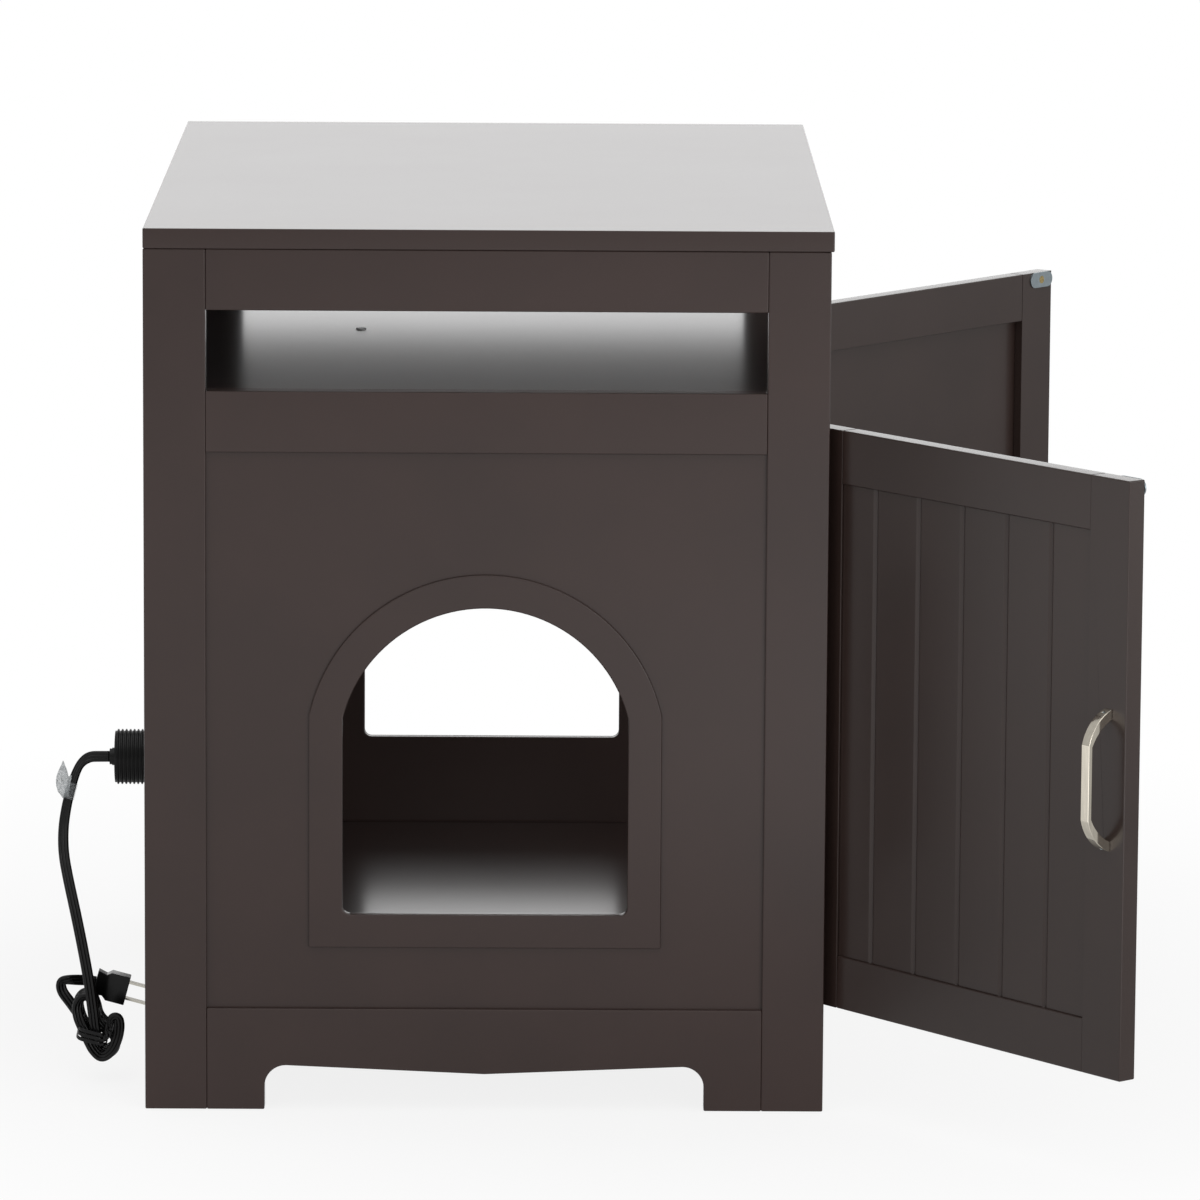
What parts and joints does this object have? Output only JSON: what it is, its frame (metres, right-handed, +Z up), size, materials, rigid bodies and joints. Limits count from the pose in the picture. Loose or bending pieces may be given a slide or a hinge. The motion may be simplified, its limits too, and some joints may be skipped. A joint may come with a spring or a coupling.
{
  "type": "cat litter box cabinet",
  "caption": "Painted board cabinet with open double doors, arched side entrances, a shelf open to the sides, shaped aprons and a rear power outlet with a tied cord.",
  "frame": {"origin": "on the floor, below the middle of the box round the cabinet with both doors against their stops, the cord left out", "axes": "+X out of the front with the doors, +Y towards the cabinet's right side, +Z up"},
  "size_m": [0.8014, 1.2083, 0.662],
  "materials": {
    "painted_board": "satin paint",
    "painted_top": "satin paint",
    "painted_shelf": "gloss paint",
    "painted_back": "matt paint",
    "beech": "raw",
    "satin_nickel": "satin",
    "zinc": "zinc plated",
    "brass_screw": "plated",
    "pale_cap": "matt",
    "catch_plastic": "matt",
    "magnet": "dull",
    "black_plastic": "satin",
    "cord_black": "satin",
    "blade_metal": "bright",
    "tie_black": "satin",
    "clear_film": "translucent film"
  },
  "bodies": {
    "cabinet": {"cam_bolts": "zinc", "cam_locks": "zinc", "catch_housings": "catch_plastic", "catch_magnets": "magnet", "cord_hank": "cord_black", "cord_stretch": "cord_black", "cord_tag": "clear_film", "dowels": "beech", "floor_board": "painted_shelf", "floor_cleats": "painted_board", "front_apron": "painted_board", "front_header": "painted_board", "front_top_rail": "painted_board", "left_apron": "painted_board", "left_arch_trim": "painted_board", "left_front_stile": "painted_board", "left_middle_rail": "painted_board", "left_rear_stile": "painted_board", "left_side_panel": "painted_board", "left_top_rail": "painted_board", "outlet_body": "black_plastic", "outlet_nut": "black_plastic", "outlet_socket": "black_plastic", "pivot_pins": "zinc", "plug_blades": "blade_metal", "plug_body": "cord_black", "rear_panel": "painted_back", "right_apron": "painted_board", "right_arch_trim": "painted_board", "right_front_stile": "painted_board", "right_middle_rail": "painted_board", "right_rear_stile": "painted_board", "right_side_panel": "painted_board", "right_top_rail": "painted_board", "shelf": "painted_shelf", "shelf_cap": "pale_cap", "shelf_cleats": "painted_board", "strain_relief": "black_plastic", "tabletop": "painted_top", "top_battens": "painted_board", "twist_tie": "tie_black", "wood_screws": "zinc"},
    "left_door": {"left_door_bottom_rail": "painted_board", "left_door_handle": "satin_nickel", "left_door_handle_screws": "zinc", "left_door_hinge_stile": "painted_board", "left_door_lock_stile": "painted_board", "left_door_panel": "painted_board", "left_door_strike_plate": "zinc", "left_door_strike_screw": "brass_screw", "left_door_top_rail": "painted_board"},
    "right_door": {"right_door_bottom_rail": "painted_board", "right_door_handle": "satin_nickel", "right_door_handle_screws": "zinc", "right_door_hinge_stile": "painted_board", "right_door_lock_stile": "painted_board", "right_door_panel": "painted_board", "right_door_strike_plate": "zinc", "right_door_strike_screw": "brass_screw", "right_door_top_rail": "painted_board"}
  },
  "joints": [
    {"name": "left_door_hinge", "type": "hinge", "parent": "cabinet", "child": "left_door", "pos_m": [0.15349, -0.3385, 0.29645], "axis": [0, 0, 1], "range_deg": [0, 141.09]},
    {"name": "right_door_hinge", "type": "hinge", "parent": "cabinet", "child": "right_door", "pos_m": [0.15349, 0.3385, 0.29645], "axis": [0, 0, -1], "range_deg": [-1.7, 139.39]}
  ]
}
